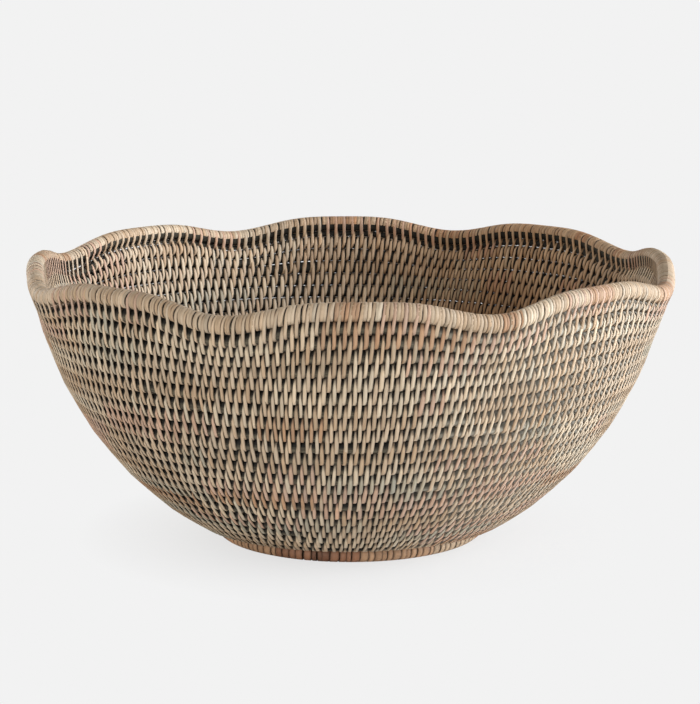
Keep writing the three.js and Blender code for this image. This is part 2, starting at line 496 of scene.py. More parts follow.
@dataclass(frozen=True)
class BowlForm:
    """The law of the spiral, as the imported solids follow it.

    Three sizes belong to the core as it is shown, which leaves less of a slot than the solids
    do: the slot that shows, how uneven the core is, and its least radius.
    """

    core_radius: float = 3.2 * MM
    shown_slot: float = 0.5 * MM
    uneven: float = 0.26 * MM
    thinnest: float = 2.7 * MM
    slot_at_base: float = 1.28 * MM
    slot_at_rim: float = 2.12 * MM
    base_turns: float = 11
    wall_turns: float = 23.19
    start_radius: float = 5 * MM
    tail_tip: float = 1.2 * MM
    slope_at_base: float = math.radians(60)
    slope_at_rim: float = math.radians(9.3)
    slope_ease: float = 1.07
    knuckle_turns: float = 1
    lobes: int = 8
    lobe_sharpness: float = 2
    dip_depth: float = 8.6 * MM
    dip_flare: float = 3.8 * MM
    wave_turns: float = 4.9
    wave_hold_turns: float = 0.45
    wave_ease: float = 1.4
    rim_radius: float = 5.25 * MM
    foot_width: float = 11.5 * MM
    foot_radius: float = 77.6 * MM
    seat: float = 0.3 * MM
    march_steps: int = 64
    binding_sides: int = 6
    meridian: Array = field(init=False, repr=False, default=None)

    # Rates, for each turn, and phases of the waves that make the core's thickness uneven.
    SWELLS = ((17.3, 1.0), (29.9, 0.0), (47.1, 2.0))

    def __post_init__(self) -> None:
        """March the section of the bowl under a crest, from the middle outwards."""
        steps = int((self.top_turn + 2) * self.march_steps)
        turn = (np.arange(steps) + 0.5) / self.march_steps
        step = self.pitch(turn) / self.march_steps
        lean = self.slope(turn)
        run = np.concatenate([[0.0], np.cumsum(step * np.sin(lean))]) + self.start_radius
        rise = np.concatenate([[0.0], np.cumsum(step * np.cos(lean))]) + self.base_height
        object.__setattr__(self, "meridian", np.stack([run, rise], axis=1))

    @property
    def top_turn(self) -> float:
        """Return the turn whose place lies under the rim."""
        return self.base_turns + self.wall_turns

    @property
    def tail_end(self) -> float:
        """Return the turn at which the core's thinned tail ends."""
        return self.top_turn + (self.core_radius - self.tail_tip) / float(self.pitch(self.top_turn))

    @property
    def binding_flat(self) -> float:
        """Return how far a flat of a bound hoop lies from its middle, as a share of its radius."""
        return math.cos(math.pi / self.binding_sides)

    @property
    def foot_height(self) -> float:
        """Return the height of the foot ring."""
        return self.foot_width * self.binding_flat

    @property
    def base_height(self) -> float:
        """Return the height of the middle of the base."""
        return self.foot_height + self.seat + self.core_radius

    def share(self, turn: Array) -> Array:
        """Return how far up the wall a turn lies, 0 to 1."""
        return np.clip((turn - self.base_turns) / self.wall_turns, 0, 1)

    def pitch(self, turn: Array) -> Array:
        """Return the distance along the wall from one turn to the next."""
        slot = self.slot_at_base + (self.slot_at_rim - self.slot_at_base) * self.share(turn)
        return 2 * self.core_radius + slot

    def slope(self, turn: Array) -> Array:
        """Return the wall's lean from upright.

        Args:
            turn: Turns of the spiral.

        Returns:
            The angle at each, a quarter turn on the flat base.
        """
        roll = (1 - self.share(turn)) ** self.slope_ease
        wall = self.slope_at_rim + (self.slope_at_base - self.slope_at_rim) * roll
        lift = np.clip((turn - self.base_turns) / self.knuckle_turns, 0, 1)
        return TURN / 4 + (wall - TURN / 4) * lift

    def place(self, turn: Array, angle: Array) -> Array:
        """Return points of the wall's middle surface.

        Args:
            turn: Turns of the spiral.
            angle: Angles round the bowl.

        Returns:
            Radius and height of each point, in an array of two columns.
        """
        below = self.top_turn - self.wave_hold_turns - turn
        wave = np.clip(1 - below / (self.wave_turns - self.wave_hold_turns), 0, 1) ** self.wave_ease
        dip = wave * ((1 - np.cos(self.lobes * (angle - FRONT))) / 2) ** self.lobe_sharpness
        at = np.clip(turn, 0, self.top_turn + 1) * self.march_steps
        rows = np.arange(len(self.meridian))
        inwards = np.minimum(turn, 0) * self.pitch(turn)
        radius = np.interp(at, rows, self.meridian[:, 0]) + self.dip_flare * dip + inwards
        height = np.interp(at, rows, self.meridian[:, 1]) - self.dip_depth * dip
        return np.stack([radius, height], axis=1)

    def across(self, turn: Array, angle: Array) -> Array:
        """Return the way along the wall from half a turn below to half a turn above."""
        return self.place(turn + 0.5, angle) - self.place(turn - 0.5, angle)

    def lean(self, turn: Array, angle: Array) -> Array:
        """Return unit directions up along the wall, as radius and height."""
        across = self.across(turn, angle)
        return across / np.linalg.norm(across, axis=1, keepdims=True)

    def girth(self, turn: Array, angle: Array) -> Array:
        """Return the radius at which the core leaves only the slot that shows, a little uneven.

        Args:
            turn: Turns of the spiral.
            angle: Angles round the bowl.

        Returns:
            The core's radius at each.
        """
        apart = np.linalg.norm(self.across(turn, angle), axis=1)
        swell = sum(np.sin(rate * turn + phase) for rate, phase in self.SWELLS) / len(self.SWELLS)
        return np.maximum((apart - self.shown_slot) / 2 + self.uneven * swell, self.thinnest)

    def core(self, turn: Array) -> Rod:
        """Return the core's middle and its radius, tail included.

        Args:
            turn: Turns of the spiral.

        Returns:
            The middle as radius and height, and the core's radius there.
        """
        angle = TURN * turn
        full = self.girth(turn, angle)
        upper = np.minimum(full, (self.top_turn - turn) * self.pitch(turn))
        radius = (upper + full) / 2
        shift = (upper - full) / 2
        return self.place(turn, angle) + self.lean(turn, angle) * shift[:, None], radius

    def rim(self, angle: Array) -> Array:
        """Return the middle of the rim hoop.

        Args:
            angle: Angles round the bowl.

        Returns:
            Radius and height at each.
        """
        turn = np.full(len(angle), self.top_turn)
        rise = self.rim_radius * self.binding_flat + self.seat
        return self.place(turn, angle) + self.lean(turn, angle) * rise


class Cane(Enum):
    """Colours of split cane, as it is laid run by run."""

    CREAM = srgb(206, 187, 160)
    BEIGE = srgb(194, 172, 145)
    SAND = srgb(183, 158, 129)
    BLUSH = srgb(193, 161, 137)
    GREY = srgb(178, 167, 145)
    TAN = srgb(178, 142, 110)
    RUST = srgb(156, 112, 84)
    UMBER = srgb(122, 84, 62)


@dataclass(frozen=True)
class Palette:
    """A mix of cane colours, and for how many strips one length of cane lasts.

    The scatter is in brightness, and the warm scatter is its share that makes a strip redder
    or bluer.
    """

    shares: Mapping[Cane, float]
    run_length: tuple[int, int]
    scatter: float = 0.07
    warm_scatter: float = 0.35
    limits: Span = (0.01, 0.95)

    def tints(self, count: int, random: np.random.Generator) -> Array:
        """Pick a colour for each strip, the same one along a length of cane.

        Args:
            count: How many strips there are.
            random: The source of chance.

        Returns:
            A linear colour for each strip.
        """
        canes = list(self.shares)
        weights = np.array([self.shares[cane] for cane in canes])
        reddening = self.scatter * self.warm_scatter * np.array([[1.0, 0.0, -1.0]])
        colours = np.empty((count, 3))
        start = 0
        while start < count:
            end = start + int(random.integers(*self.run_length))
            picked = canes[random.choice(len(canes), p=weights / weights.sum())]
            length = len(colours[start:end])
            drift = 1 + self.scatter * random.standard_normal((length, 1))
            warmth = 1 + random.standard_normal((length, 1)) * reddening
            colours[start:end] = np.array(picked.value) * drift * warmth
            start = end
        return np.clip(colours, *self.limits)


WALL_PALETTE = Palette(
    {Cane.CREAM: 0.20, Cane.BEIGE: 0.34, Cane.SAND: 0.24, Cane.BLUSH: 0.12, Cane.GREY: 0.05, Cane.TAN: 0.02},
    run_length=(2, 16),
)
RIM_PALETTE = Palette({Cane.CREAM: 0.15, Cane.BEIGE: 0.35, Cane.SAND: 0.4, Cane.TAN: 0.1}, run_length=(1, 9))
RIM_LASHING_PALETTE = Palette({Cane.BLUSH: 0.25, Cane.SAND: 0.3, Cane.BEIGE: 0.45}, run_length=(1, 8))
FOOT_PALETTE = Palette({Cane.RUST: 0.3, Cane.UMBER: 0.1, Cane.TAN: 0.6}, run_length=(2, 9), scatter=0.1)

# The wraps at the front of the foot, from left to right.
FOOT_FRONT = (
    (Cane.TAN, 8), (Cane.RUST, 5), (Cane.UMBER, 3), (Cane.RUST, 4), (Cane.TAN, 12), (Cane.SAND, 9)
)


@dataclass(frozen=True)
class Grain:
    """A noise that is drawn out along a strip, and differs from strip to strip."""

    across: float
    along: float
    apart: float
    scale: float
    detail: float

    def lay(self, shader: Shader, across: Field, along: Field, seed: Field) -> Field:
        """Add the noise.

        Args:
            shader: The finish it belongs to.
            across: The place across the strip, -1 to 1.
            along: The place along the strip, 0 to 1.
            seed: The strip's own number.

        Returns:
            The noise, about 0 to 1.
        """
        place = shader.combine(across * self.across, along * self.along, seed * self.apart)
        return shader.noise(place, self.scale, self.detail)


@dataclass(frozen=True)
class StripFinish:
    """The peeled skin of split cane: fibres along it, with painted shade at its edges, and where it lies
    deep in a slot at its ends and halfway along.

    A pair of numbers says where a shade starts and where it is full.
    """

    name: str
    fibres: Grain = Grain(across=3.2, along=2.2, apart=91.0, scale=1.6, detail=3.0)
    fibre_depth: float = 0.2
    stains: Grain = Grain(across=0.6, along=3.0, apart=53.0, scale=1.4, detail=2.0)
    stain_tone: Span = (0.56, 0.76)
    stain_depth: float = 0.45
    stain_tint: Triple = (0.82, 0.66, 0.50)
    # Painted shade: the edges of a strip are darkened where shade falls between neighbouring strips.
    edge_shade: float = 0.5
    edge_ease: float = 3.0
    # Painted shade: a strip is darkened where it lies deep in a slot, at its ends and halfway along.
    slot_shade: float = 0.8
    slot_at_ends: Span = (0.117, 0.027)
    slot_at_middle: Span = (0.0585, 0.0135)
    roughness: float = 0.55
    roughness_spread: float = 0.2
    bump: float = 0.25
    bump_depth: float = 0.1 * MM

    def material(self) -> bpy.types.Material:
        """Build the finish from each strip's own tint and its places along and across.

        Returns:
            The material.
        """
        shader = Shader.of_material(self.name)
        tint = shader.read("tint", "Color")
        along = shader.read("strip_along")
        across = shader.read("strip_across")
        seed = shader.read("strip_seed")
        fibres = self.fibres.lay(shader, across, along, seed)
        stain = self.stains.lay(shader, across, along, seed)
        shade = 1.0 - self.fibre_depth + fibres * (2 * self.fibre_depth)
        edge = shader.maths("ABSOLUTE", across) ** self.edge_ease * self.edge_shade
        # Painted shade in the slots.
        painted_slot_shade = self._painted_shade(shader, along) * self.slot_shade
        lit = tint * (shade * (1.0 - edge) * (1.0 - painted_slot_shade))
        blotch = shader.ramp(stain, *self.stain_tone) * self.stain_depth
        colour = shader.mix(blotch, lit, shader.vector("MULTIPLY", lit, self.stain_tint))
        roughness = self.roughness + fibres * self.roughness_spread
        return shader.dress(colour, roughness, fibres, self.bump, self.bump_depth)

    def _painted_shade(self, shader: Shader, along: Field) -> Field:
        """Find the painted shade where the strip lies deep in a slot: at both its ends and halfway along.

        Args:
            shader: The finish it belongs to.
            along: The place along the strip, 0 to 1.

        Returns:
            A share, 1 in a slot.
        """
        from_end = shader.maths("MINIMUM", along, 1.0 - along)
        from_middle = shader.maths("ABSOLUTE", along - 0.5)
        ends = shader.ramp(from_end, *self.slot_at_ends)
        return shader.maths("MAXIMUM", ends, shader.ramp(from_middle, *self.slot_at_middle))


@dataclass(frozen=True)
class CoreFinish:
    """Scraped round core cane with fine streaks along it, paled as painted light on the side the key lamp
    lights, and darkened as painted shade in the slots and on its inner face.

    A pair of numbers says where a shade starts and where it is full. Places on the rod are
    -1 to 1, from its lower to its upper side or from the inside of the bowl to the outside.
    Sides of the bowl are 1 towards the side that the key lamp lights and -1 away from it.
    """

    name: str
    pale: Triple = srgb(106, 98, 80)
    dark: Triple = srgb(64, 58, 46)
    painted_lit_colour: Triple = srgb(200, 193, 176)
    streaks_round: float = 22.0
    streaks_across: float = 900.0
    streak_detail: float = 3.0
    streak_tone: Span = (0.35, 0.6833)
    # Painted shade: the core is darkened where it faces into a slot and on its face towards the inside of
    # the bowl.
    slot_shade: float = 0.92
    slot_above: Span = (0.0278, 0.5833)
    slot_below: Span = (-0.4091, -0.8636)
    inner_shade: float = 0.85
    inner_face: Span = (0.0, -0.5556)
    # Painted light: the core is paled on the side that the key lamp lights, and its painted slot shade is
    # lessened there. On the far side, where the key lights the inside, its painted inner shade is lessened.
    bright_side: float = math.radians(-20)
    painted_lit_span: Span = (0.42, 0.8367)
    painted_lit_share: float = 0.8
    painted_lit_clears: float = 0.5
    far_side: Span = (-0.5, -0.9545)
    far_clears: float = 0.45
    roughness: float = 0.75
    roughness_spread: float = 0.2
    bump: float = 0.3
    bump_depth: float = 0.15 * MM

    def material(self) -> bpy.types.Material:
        """Build the finish on the bowl's own coordinates, so streaks follow each turn.

        Returns:
            The material.
        """
        shader = Shader.of_material(self.name)
        place = shader.out(shader.node("ShaderNodeTexCoord"), "Object")
        x, y, z = (shader.part(place, axis) for axis in range(3))
        radius = shader.maths("SQRT", x * x + y * y)
        turn = shader.vector("NORMALIZE", shader.combine(x, y, 0.0))
        round_x, round_y = (shader.part(turn, axis) * self.streaks_round for axis in range(2))
        grain = shader.combine(round_x, round_y, (radius + z) * self.streaks_across)
        streak = shader.noise(grain, 1.0, self.streak_detail)
        colour = shader.mix(shader.ramp(streak, *self.streak_tone), self.dark, self.pale)
        # Painted light: paler towards the side that the key lamp lights.
        towards = (math.cos(self.bright_side), math.sin(self.bright_side), 0.0)
        facing = shader.vector_value("DOT_PRODUCT", turn, towards)
        painted_lit = shader.ramp(facing, *self.painted_lit_span)
        colour = shader.mix(painted_lit * self.painted_lit_share, colour, self.painted_lit_colour)
        colour = colour * (1.0 - self._painted_shade(shader, facing, painted_lit))
        roughness = self.roughness + streak * self.roughness_spread
        return shader.dress(colour, roughness, streak, self.bump, self.bump_depth)

    def _painted_shade(self, shader: Shader, facing: Field, painted_lit: Field) -> Field:
        """Find the painted shade of the core in the slots and on its face towards the inside of the bowl.

        Args:
            shader: The finish it belongs to.
            facing: The side of the bowl.
            painted_lit: How much painted light pales the core there, 0 to 1.

        Returns:
            The darker of both shades.
        """
        # Painted shade in the slots and on the inner face, lessened where painted light falls.
        side = shader.read("rod_side")
        above = shader.ramp(side, *self.slot_above)
        slot = shader.maths("MAXIMUM", above, shader.ramp(side, *self.slot_below)) * self.slot_shade
        inner = shader.ramp(shader.read("rod_face"), *self.inner_face) * self.inner_shade
        away = shader.ramp(facing, *self.far_side)
        slot = slot * (1.0 - painted_lit * self.painted_lit_clears)
        return shader.maths("MAXIMUM", slot, inner * (1.0 - away * self.far_clears))


class Looks:
    """The finishes, each made once."""

    def __init__(self) -> None:
        """Build the materials."""
        self.strip = StripFinish("cane_lashing").material()
        self.rim = StripFinish("rim_wraps", fibre_depth=0.18, slot_shade=0.0).material()
        self.foot = StripFinish("foot_wraps", fibre_depth=0.25, edge_shade=0.8, slot_shade=0.0).material()
        self.core = CoreFinish("cane_core").material()


class RodTree(GeometryTree):
    """Sweeps a round rod along a line of points with their own radius."""

    SIDES = 12
    HELPERS = ("rod_radius", "rod_up", "rod_out", "rod_middle")

    def __init__(self) -> None:
        """Build the tree."""
        super().__init__("cane rod")
        sides = self.given("Sides", "NodeSocketInt")
        material = self.given("Material", "NodeSocketMaterial")
        known = self.store(self.out(self.entry, "Geometry"), "rod_middle", self.place, "FLOAT_VECTOR")
        line = self.out(self.node("GeometryNodeMeshToCurve", None, {"Mesh": known}))
        section = self.node(
            "GeometryNodeCurvePrimitiveCircle", {"mode": "RADIUS"}, {"Resolution": sides, "Radius": 1.0}
        )
        radius = self.attribute("rod_radius")
        rod = self.sweep(line, self.out(section), radius)
        off = (self.place - self.attribute("rod_middle", "FLOAT_VECTOR")) * (1.0 / radius)
        for name, way in {"rod_side": "rod_up", "rod_face": "rod_out"}.items():
            facing = self.vector_value("DOT_PRODUCT", off, self.attribute(way, "FLOAT_VECTOR"))
            rod = self.store(rod, name, facing)
        self.finish(rod, material)

    def rod(
        self,
        name: str,
        points: Array,
        up: Array,
        radius: Array,
        closed: bool,
        material: bpy.types.Material,
    ) -> bpy.types.Object:
        """Make a rod.

        Args:
            name: The piece's name.
            points: The rod's middle line.
            up: The direction along the wall at each point.
            radius: Its radius at each point.
            closed: Whether it is a hoop.
            material: Its finish.

        Returns:
            The piece, a plain mesh.
        """
        count = len(points)
        edges = [(i, (i + 1) % count) for i in range(count if closed else count - 1)]
        mesh = bpy.data.meshes.new(name)
        mesh.from_pydata(points.tolist(), edges, [])
        out = np.cross(np.gradient(points, axis=0), up)
        out /= np.linalg.norm(out, axis=1, keepdims=True)
        write(mesh, "rod_radius", radius)
        write(mesh, "rod_up", up, "FLOAT_VECTOR")
        write(mesh, "rod_out", out, "FLOAT_VECTOR")
        piece = put(name, mesh)
        self.apply(piece, {"Sides": self.SIDES, "Material": material}, self.HELPERS)
        return piece


@dataclass
class Strips:
    """Places and sizes of flat strips, each looped once round two rods or one hoop.

    Low is the lower rod's middle at the strip, and the upper rod's lies at the distance up
    from it. Upper and lower are the rods' radii. In one round a strip moves along the rods by
    its advance, and by its lean on the outside alone. Out, up and along are directions.
    """

    low: Array
    out: Array
    up: Array
    along: Array
    distance: Array
    upper: Array
    lower: Array
    advance: Array
    lean: Array
    width: Array
    narrow: Array
    squash: Array
    tuck: Array
    tint: Array
    seed: Array

    VECTORS = ("out", "up", "along")
    NUMBERS = ("distance", "upper", "lower", "advance", "lean", "width", "narrow", "squash", "tuck")

    def points(self, name: str) -> bpy.types.Object:
        """Make a cloud of points that carries the strips' sizes.

        Args:
            name: The piece's name.

        Returns:
            The piece, still a cloud of points.
        """
        mesh = bpy.data.meshes.new(name)
        mesh.from_pydata(self.low.tolist(), [], [])
        for label in self.VECTORS:
            write(mesh, f"belt_{label}", getattr(self, label), "FLOAT_VECTOR")
        for label in self.NUMBERS:
            write(mesh, f"belt_{label}", getattr(self, label))
        write(mesh, "strip_seed", self.seed)
        opaque = np.ones((len(self.tint), 1))
        write(mesh, "tint", np.concatenate([self.tint, opaque], axis=1), "FLOAT_COLOR")
        return put(name, mesh)

    @property
    def helpers(self) -> list[str]:
        """Name the attributes that only the tree needs."""
        return [f"belt_{label}" for label in (*self.VECTORS, *self.NUMBERS)]


class StripTree(GeometryTree):
    """Loops a flat strip round an upper and a lower rod at each point.

    A strip starts in the slot above the upper rod, comes down outside over both rods, turns
    in under the lower one, and climbs the inside to the next strip's start.
    """

    # Places along a strip, 0 to 1, and the share of its width that a strip keeps there.
    WIDTHS = (
        (0.0, 0.85), (0.04, 0.5), (0.09, 0.5), (0.15, 0.73), (0.48, 0.73), (0.52, 0.85), (0.60, 0.60),
        (0.66, 0.70), (0.72, 0.80), (0.79, 0.80), (0.86, 0.70), (0.94, 0.55), (1.0, 0.85),
    )

    # How much the climb on the inside counts for the drift sideways. The turns take the rest.
    SLIDE = 0.35

    # Where along a strip its tuck on the inside starts and is full, seen from either end of it.
    TUCK_IN = (0.49, 0.53)
    TUCK_OUT = (0.76, 0.72)

    # The section is 2 wide at the bottom, and this wide at the top of its low ridge.
    TOP_WIDTH = 1.5

    # The share of its thickness by which a strip's edges stand off the rod.
    EDGE_LIFT = 0.1

    # A cell of the bake map holds one strip, with its top and its underside in bands of their
    # own. Each band has a middle and a half width, as shares of the cell.
    TOP_BAND = (0.34, 0.28)
    UNDER_BAND = (0.82, 0.16)

    # Where a strip starts in its cell, how much of it the strip and each end face take up, and
    # how many times longer than broad a cell is.
    CELL_START = 0.04
    CELL_LENGTH = 0.92
    CAP_LENGTH = 0.02
    CELL_RATIO = 5

    # A face whose mean lift is less than this is the underside, and one that lies this near to
    # an end is an end face.
    UNDER_LIFT = 0.25
    CAP_END = 0.001

    def __init__(self) -> None:
        """Build the tree."""
        super().__init__("lashing strips")
        thickness = self.given("Thickness", "NodeSocketFloat")
        steps = self.given("Steps", "NodeSocketInt")
        columns = self.given("Columns", "NodeSocketFloat")
        rows = self.given("Rows", "NodeSocketFloat")
        material = self.given("Material", "NodeSocketMaterial")
        points = self._numbered(self.out(self.entry, "Geometry"))
        inputs = {"Points": points, "Instance": self._blank(steps)}
        placed = self.out(self.node("GeometryNodeInstanceOnPoints", None, inputs))
        real = self.step("GeometryNodeRealizeInstances", placed)
        moved = self.step("GeometryNodeSetPosition", real, Position=self._route(thickness))
        mapped = self.store(moved, "OFBake", self._map(columns, rows), "FLOAT2", "CORNER")
        across, _ = self._section()
        self.finish(self.store(mapped, "strip_across", across), material)

    def _numbered(self, points: Field) -> Field:
        """Give each strip its number and keep its start point."""
        numbered = self.store(points, "strip_number", self.out(self.node("GeometryNodeInputIndex")))
        return self.store(numbered, "belt_low", self.place, "FLOAT_VECTOR")

    def _blank(self, steps: Field) -> Field:
        """Make a straight strip with a low ridged section, which knows its own places.

        Args:
            steps: How many points it has along its length.

        Returns:
            The strip.
        """
        line = self.node("GeometryNodeCurvePrimitiveLine", None, {"End": (0.0, 0.0, 1.0)})
        even = self.node("GeometryNodeResampleCurve", None, {"Curve": self.out(line), "Count": steps})
        factor = self.out(self.node("GeometryNodeSplineParameter"), "Factor")
        known = self.store(self.out(even), "strip_along", factor)
        section = self.node(
            "GeometryNodeCurvePrimitiveQuadrilateral",
            {"mode": "TRAPEZOID"},
            {"Height": 1.0, "Bottom Width": 2.0, "Top Width": self.TOP_WIDTH, "Offset": 0.0},
        )
        from_bottom = self.place + self.combine(0.0, 0.5, 0.0)
        profile = self.store(self.out(section), "strip_section", from_bottom, "FLOAT_VECTOR")
        return self.sweep(known, profile)

    def _route(self, thickness: Field) -> Field:
        """Work out where each point of a strip lies.

        The way round has five stretches: over the upper rod to the outside, down, under the
        lower rod, up on the inside, and back over the upper rod. Each has a share that grows
        from 0 to 1 as the strip passes through it.

        Args:
            thickness: The strip's thickness.

        Returns:
            The place.
        """
        upper = self.attribute("belt_upper")
        lower = self.attribute("belt_lower")
        distance = self.attribute("belt_distance")
        tilt = self.maths("ARCSINE", (lower - upper) / distance)
        top_turn = TURN / 4 - tilt
        bottom_turn = TURN / 2 + 2.0 * tilt
        straight = distance * self.maths("COSINE", tilt)
        top = upper * top_turn
        bottom = lower * bottom_turn
        along = self.attribute("strip_along")
        gone = along * ((top + straight) * 2.0 + bottom)
        over = self.share(gone / top)
        down = self.share((gone - top) / straight)
        under = self.share((gone - top - straight) / bottom)
        climb = self.share((gone - top - straight - bottom) / straight)
        back = self.share((gone - top - straight * 2.0 - bottom) / top)
        outside = (over * top + down * straight) / (top + straight)
        slid = straight * self.SLIDE
        turning = under * under * (3.0 - 2.0 * under)
        inside = (turning * bottom + climb * slid + back * back * top) / (bottom + slid + top)
        width, height = self._profile(thickness)
        low_share = down - climb
        tucked = self.ramp(along, *self.TUCK_IN) * self.ramp(along, *self.TUCK_OUT)
        reach = upper + (lower - upper) * low_share + height - self.attribute("belt_tuck") * tucked
        lean = self.attribute("belt_lean")
        drift = lean * (0.5 - outside) - (self.attribute("belt_advance") - lean) * inside
        turned = TURN / 4 - (over + back) * top_turn - under * bottom_turn
        squashed = reach * self.maths("SINE", turned) * self.attribute("belt_squash")
        return (
            self.attribute("belt_low", "FLOAT_VECTOR")
            + self.attribute("belt_out", "FLOAT_VECTOR") * (reach * self.maths("COSINE", turned))
            + self.attribute("belt_up", "FLOAT_VECTOR") * (distance * (1.0 - low_share) + squashed)
            + self.attribute("belt_along", "FLOAT_VECTOR") * (drift + width)
        )

    def _section(self) -> tuple[Field, Field]:
        """Return a point's place on the section: across, -1 to 1, and up from the bottom, 0 to 1."""
        section = self.attribute("strip_section", "FLOAT_VECTOR")
        return self.part(section, 0), self.part(section, 1)

    def _profile(self, thickness: Field) -> tuple[Field, Field]:
        """Work out a point's distance from the strip's middle line.

        Args:
            thickness: The strip's thickness.

        Returns:
            Its distance sideways, and its height off the rod.
        """
        side, lift = self._section()
        places = {"Value": self.attribute("strip_along")}
        curve = self.out(self.node("ShaderNodeFloatCurve", {"points": self.WIDTHS}, places))
        lost = (1.0 - curve) * self.attribute("belt_narrow")
        width = side * (self.attribute("belt_width") * (1.0 - lost) * 0.5)
        return width, (self.EDGE_LIFT + lift * (1 - self.EDGE_LIFT)) * thickness

    def _on_face(self, value: Field) -> Field:
        """Return the mean of a value over each face."""
        settings = {"domain": "FACE", "data_type": "FLOAT"}
        return self.out(self.node("GeometryNodeFieldOnDomain", settings, {0: value}))

    def _map(self, columns: Field, rows: Field) -> Field:
        """Lay each strip in its own cell of the bake map, its underside beside its top.

        Args:
            columns: How many cells stand side by side.
            rows: How many rows of cells there are.

        Returns:
            The place on the map.
        """
        side, lift = self._section()
        along = self.attribute("strip_along")
        middle, half = self.TOP_BAND
        under_middle, under_half = self.UNDER_BAND
        beneath = self.maths("LESS_THAN", self._on_face(lift), self.UNDER_LIFT)
        across = middle + side * half + beneath * (under_middle - middle - side * (half + under_half))
        last = self.maths("GREATER_THAN", self._on_face(along), 1 - self.CAP_END)
        first = self.maths("LESS_THAN", self._on_face(along), self.CAP_END)
        length = self.CELL_START + along * self.CELL_LENGTH + (last - first) * lift * self.CAP_LENGTH
        number = self.attribute("strip_number")
        row = self.maths("FLOOR", number / columns)
        column = number - row * columns
        return self.combine((column + length) / columns, (row + across) / rows, 0.0)

    def lash(
        self, name: str, strips: Strips, thickness: float, steps: int, material: bpy.types.Material
    ) -> bpy.types.Object:
        """Make a piece of lashing.

        Args:
            name: The piece's name.
            strips: The strips it is made of.
            thickness: How thick they are.
            steps: How many points each loop has.
            material: Their finish.

        Returns:
            The piece, a plain mesh.
        """
        piece = strips.points(name)
        count = len(strips.low)
        columns = max(1, round(math.sqrt(count / self.CELL_RATIO)))
        values = {
            "Thickness": thickness,
            "Steps": steps,
            "Columns": float(columns),
            "Rows": float(math.ceil(count / columns)),
            "Material": material,
        }
        self.apply(piece, values, [*strips.helpers, "belt_low", "strip_number", "strip_section"])
        return piece


@dataclass
class Weaver:
    """Works out where each strip crosses the spiral, each midway between two of the turn below.

    The spacing is the room that a strip should have. Where two strips of the turn below stand
    more than split_from times that apart, to which chance adds up to the split scatter, two
    strips stand on them instead of one.
    """

    form: BowlForm
    spacing: float = 5.2 * MM
    seed: int = 7
    split_from: float = 1.22
    split_scatter: float = 0.16
    split_at: Span = (0.27, 0.73)
    evening: float = 0.3
    evening_rounds: int = 4
    random: np.random.Generator = field(init=False, repr=False)
    crossings: Array = field(init=False, repr=False)

    def __post_init__(self) -> None:
        """Lay the strips out from the middle of the base to a full turn past the tail."""
        self.random = np.random.default_rng(self.seed)
        self.crossings = self._lay()

    def _radius(self, turn: Array) -> Array:
        """Return the radius of each turn."""
        return self.form.place(turn, turn * TURN)[:, 0]

    def _lay(self) -> Array:
        """Lay strip after strip along the spiral, turn by turn, and even each turn out a little.

        Returns:
            The turn at which each strip crosses a slot, in order.
        """
        first = round(float(TURN * self._radius(np.array([1.5]))[0] / self.spacing))
        laid = list(1 + np.arange(first + 1) / first)
        last = self.form.tail_end + 1
        start = 0
        while laid[-1] < last:
            end = len(laid) - 1
            gaps = np.array([(laid[i], laid[i + 1]) for i in range(start, end)])
            middle = gaps.mean(axis=1) + 1
            width = (gaps[:, 1] - gaps[:, 0]) * TURN * self._radius(middle)
            limit = self.split_from + self.split_scatter * self.random.random(len(middle))
            fresh = []
            for (low, high), split in zip(gaps + 1, width > self.spacing * limit):
                fresh.extend(low + (high - low) * share for share in (self.split_at if split else (0.5,)))
            row = np.array([laid[-1], *fresh])
            for _ in range(self.evening_rounds):
                row[1:-1] += self.evening * (row[:-2] + row[2:] - 2 * row[1:-1])
            start = end
            laid.extend(row[1:])
        return np.array(laid)

    def between(self, low: float, high: float) -> tuple[Array, Array]:
        """Find the crossings in a stretch of the spiral.

        Args:
            low: The turn at which the stretch starts.
            high: The turn at which it ends.

        Returns:
            The crossings, and the space each has, in turns.
        """
        inside = (self.crossings >= low) & (self.crossings < high)
        space = np.gradient(self.crossings)
        return self.crossings[inside], space[inside]


